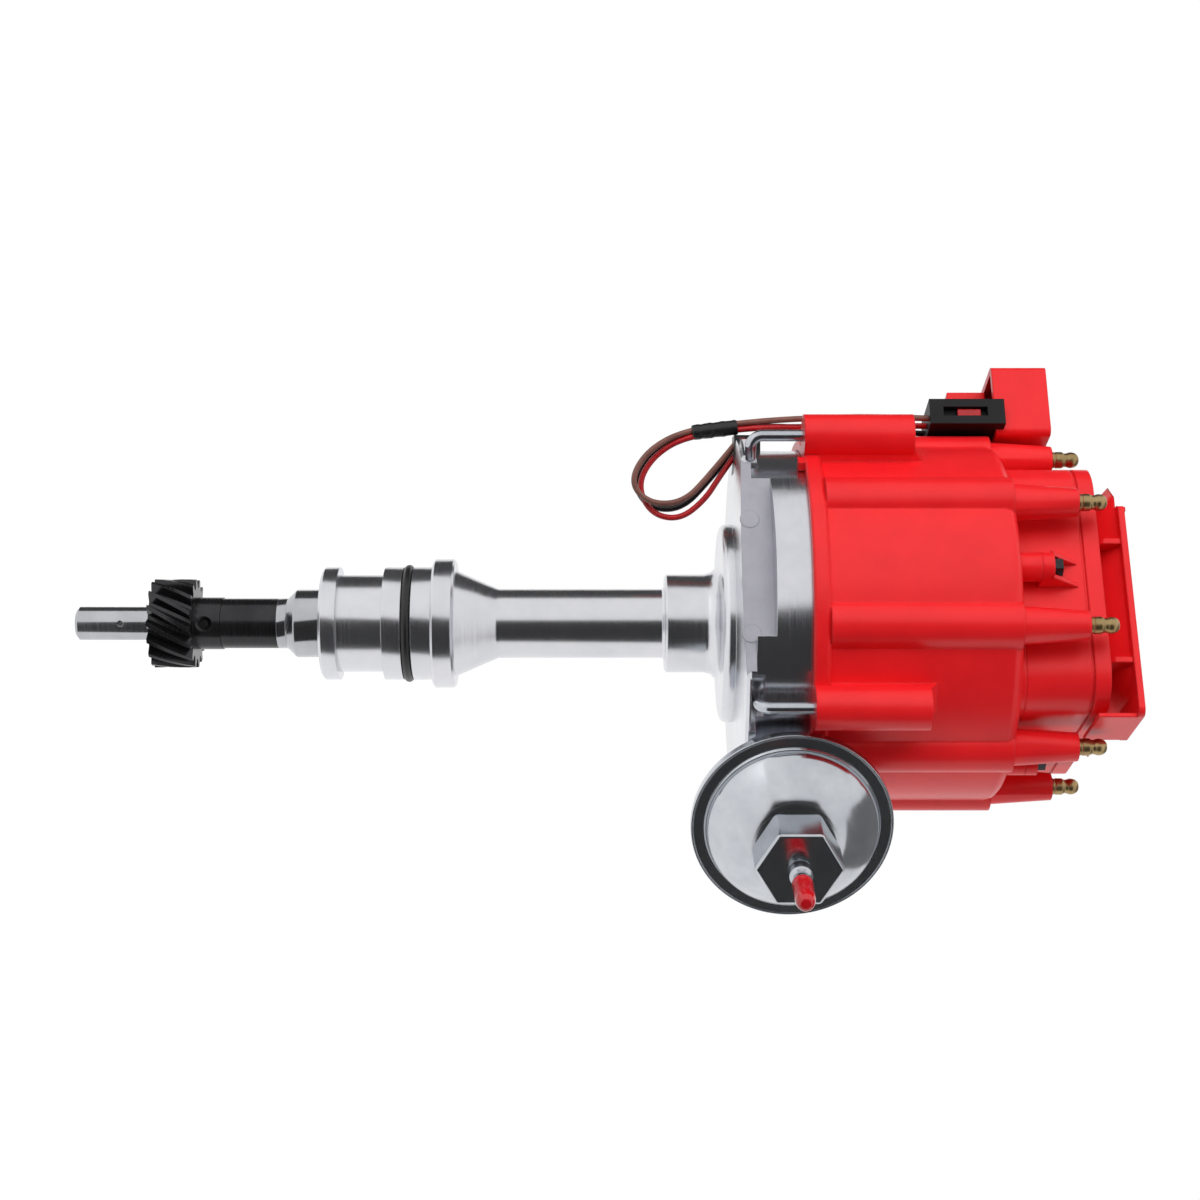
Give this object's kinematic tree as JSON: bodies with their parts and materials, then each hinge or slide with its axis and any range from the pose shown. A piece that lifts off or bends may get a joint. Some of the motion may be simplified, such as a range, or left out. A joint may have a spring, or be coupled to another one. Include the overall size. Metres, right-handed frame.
{
  "type": "ignition distributor",
  "caption": "Electronic ignition distributor with a moulded cap and built-in coil, aluminium housing, helical drive gear, vacuum advance canister and lead harness.",
  "frame": {"origin": "on the shaft's axis at the underside of the mounting flange, where it seats on the engine", "axes": "+Z along the shaft towards the cap, +X towards the side between two latches and beside the vacuum canister"},
  "size_m": [0.1942, 0.1717, 0.3739],
  "materials": {
    "cast_aluminium": "turned and as cast",
    "bronze": "sintered",
    "black_rubber": "satin",
    "steel": "ground",
    "black_steel": "black oxide",
    "zinc": "zinc plated",
    "red_plastic": "satin gloss moulding",
    "black_plastic": "matte",
    "brass": "turned",
    "brown_lead": "satin",
    "red_lead": "satin",
    "red_vinyl": "soft vinyl"
  },
  "bodies": {
    "housing_body": {"housing": "cast_aluminium", "lower_bushing": "bronze", "upper_bushing": "bronze", "housing_o_ring": "black_rubber", "pickup_clip": "steel", "ignition_module": "black_plastic", "module_screws": "steel", "capacitor": "zinc", "capacitor_screw": "steel", "distributor_cap": "red_plastic", "cap_terminals": "brass", "button_spring": "steel", "latch_springs": "steel", "coil_core": "steel", "coil_winding": "black_plastic", "coil_seal": "black_rubber", "coil_screws": "steel", "coil_cover": "red_plastic", "coil_cover_screws": "black_steel", "harness_plug": "black_plastic", "lead_brown": "brown_lead", "lead_red": "red_lead", "lead_black": "black_rubber", "lead_sleeve": "black_rubber", "harness_grommet": "black_rubber", "canister_rear_shell": "zinc", "canister_front_shell": "zinc", "canister_hex": "zinc", "canister_nozzle": "zinc", "canister_bracket": "zinc", "bracket_screws": "steel", "canister_spring": "steel"},
    "shaft": {"main_shaft": "steel", "drive_gear": "black_steel", "gear_pin": "steel", "spacer_sleeve": "black_steel", "thrust_collar": "steel", "advance_cam": "steel"},
    "advance_plate": {"timer_core": "steel", "weight_base": "steel", "weight_pins": "steel", "rotor": "red_plastic", "rotor_contact": "brass", "rotor_screws": "steel", "advance_spring_a": "steel", "advance_spring_b": "steel"},
    "governor_weight_a": {"weight_a": "steel"},
    "governor_weight_b": {"weight_b": "steel"},
    "pickup": {"pickup_plate": "steel", "pickup_coil": "black_plastic", "pickup_magnet": "black_rubber", "pole_piece": "steel"},
    "vacuum_rod": {"diaphragm": "black_rubber", "pull_rod": "zinc"},
    "carbon_button": {"cap_button": "black_plastic"},
    "nozzle_cap": {"dust_cap": "red_vinyl"},
    "latch_body_1": {"latch_1": "zinc"},
    "latch_body_2": {"latch_2": "zinc"},
    "latch_body_3": {"latch_3": "zinc"},
    "latch_body_4": {"latch_4": "zinc"}
  },
  "joints": [
    {"name": "shaft_spin", "type": "hinge", "parent": "housing_body", "child": "shaft", "pos_m": [0, 0, 0], "axis": [0, 0, 1], "continuous": true},
    {"name": "centrifugal_advance", "type": "hinge", "parent": "shaft", "child": "advance_plate", "pos_m": [0, 0, 0.141], "axis": [0, 0, 1], "range_deg": [0, 12], "stiffness_Nm_per_rad": 0.5, "deforming": ["advance_spring_a", "advance_spring_b"]},
    {"name": "weight_a_swing", "type": "hinge", "parent": "advance_plate", "child": "governor_weight_a", "pos_m": [-0.00569, 0.02125, 0.141], "axis": [0, 0, -1], "range_deg": [0, 26.4]},
    {"name": "weight_b_swing", "type": "hinge", "parent": "advance_plate", "child": "governor_weight_b", "pos_m": [0.00569, -0.02125, 0.141], "axis": [0, 0, -1], "range_deg": [0, 26.4]},
    {"name": "vacuum_advance", "type": "hinge", "parent": "housing_body", "child": "pickup", "pos_m": [0, 0, 0.118], "axis": [0, 0, -1], "range_deg": [0, 10], "stiffness_Nm_per_rad": 1},
    {"name": "pull_rod_slide", "type": "slide", "parent": "housing_body", "child": "vacuum_rod", "axis": [0.3827, -0.9239, 0], "range_m": [0, 0.0078], "deforming": ["canister_spring"]},
    {"name": "button_press", "type": "slide", "parent": "housing_body", "child": "carbon_button", "axis": [0, 0, 1], "range_m": [0, 0.0015], "stiffness_N_per_m": 300, "deforming": ["button_spring"]},
    {"name": "dust_cap_pull", "type": "slide", "parent": "housing_body", "child": "nozzle_cap", "axis": [0.3827, -0.9239, 0], "range_m": [0, 0.012]},
    {"name": "latch_1_turn", "type": "hinge", "parent": "housing_body", "child": "latch_body_1", "pos_m": [0.02736, -0.06606, 0.1131], "axis": [0, 0, 1], "range_deg": [0, 90]},
    {"name": "latch_2_turn", "type": "hinge", "parent": "housing_body", "child": "latch_body_2", "pos_m": [-0.06606, -0.02736, 0.1131], "axis": [0, 0, 1], "range_deg": [0, 90]},
    {"name": "latch_3_turn", "type": "hinge", "parent": "housing_body", "child": "latch_body_3", "pos_m": [-0.02736, 0.06606, 0.1131], "axis": [0, 0, 1], "range_deg": [0, 90]},
    {"name": "latch_4_turn", "type": "hinge", "parent": "housing_body", "child": "latch_body_4", "pos_m": [0.06606, 0.02736, 0.1131], "axis": [0, 0, 1], "range_deg": [0, 90]}
  ],
  "couplings": [
    {"joint": "weight_a_swing", "follows": "centrifugal_advance", "ratio": 2.2},
    {"joint": "weight_b_swing", "follows": "centrifugal_advance", "ratio": 2.2},
    {"joint": "pull_rod_slide", "follows": "vacuum_advance", "m_per_rad": 0.0441}
  ]
}
